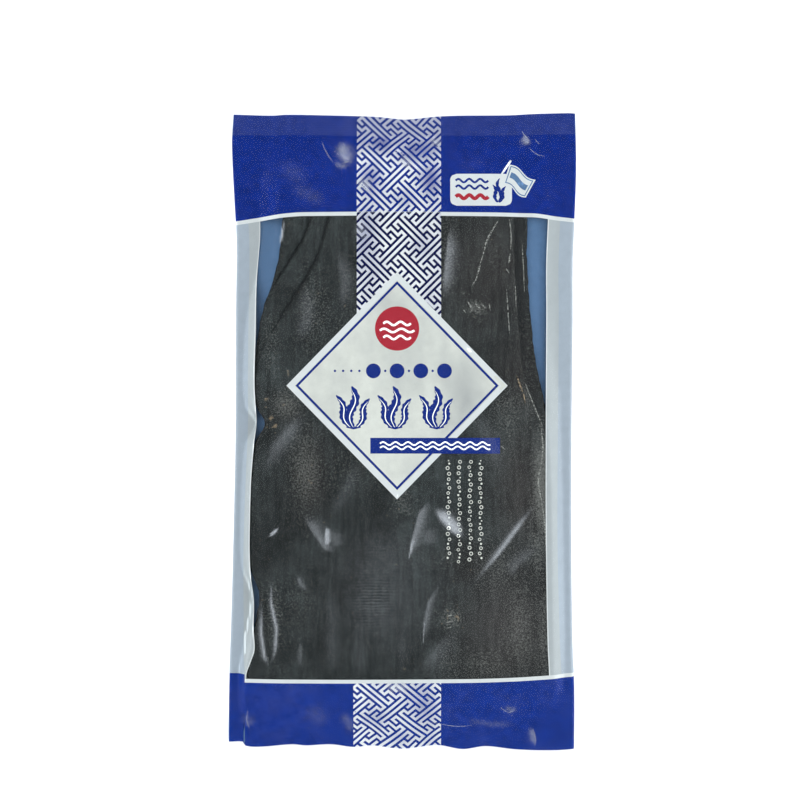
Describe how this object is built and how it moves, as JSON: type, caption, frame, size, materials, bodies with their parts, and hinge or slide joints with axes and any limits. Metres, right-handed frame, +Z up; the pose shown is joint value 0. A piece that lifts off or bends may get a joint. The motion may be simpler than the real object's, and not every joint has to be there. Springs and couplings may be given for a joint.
{
  "type": "packet of dried kelp sheets",
  "caption": "Flat clear film packet of dried kelp sheets, with printed bands at head and foot, lying face up.",
  "frame": {"origin": "the middle of the packet's flat back, on the surface it lies on", "axes": "+X to the right of the printed front, +Y from the foot band to the head band, +Z up out of the front"},
  "size_m": [0.18, 0.33, 0.0105],
  "materials": {
    "printed_film": "satin",
    "window_film": "gloss",
    "side_film": "satin",
    "silver_print": "satin",
    "kelp": "satin"
  },
  "bodies": {
    "root": {"packet": "printed_film"}
  },
  "joints": []
}
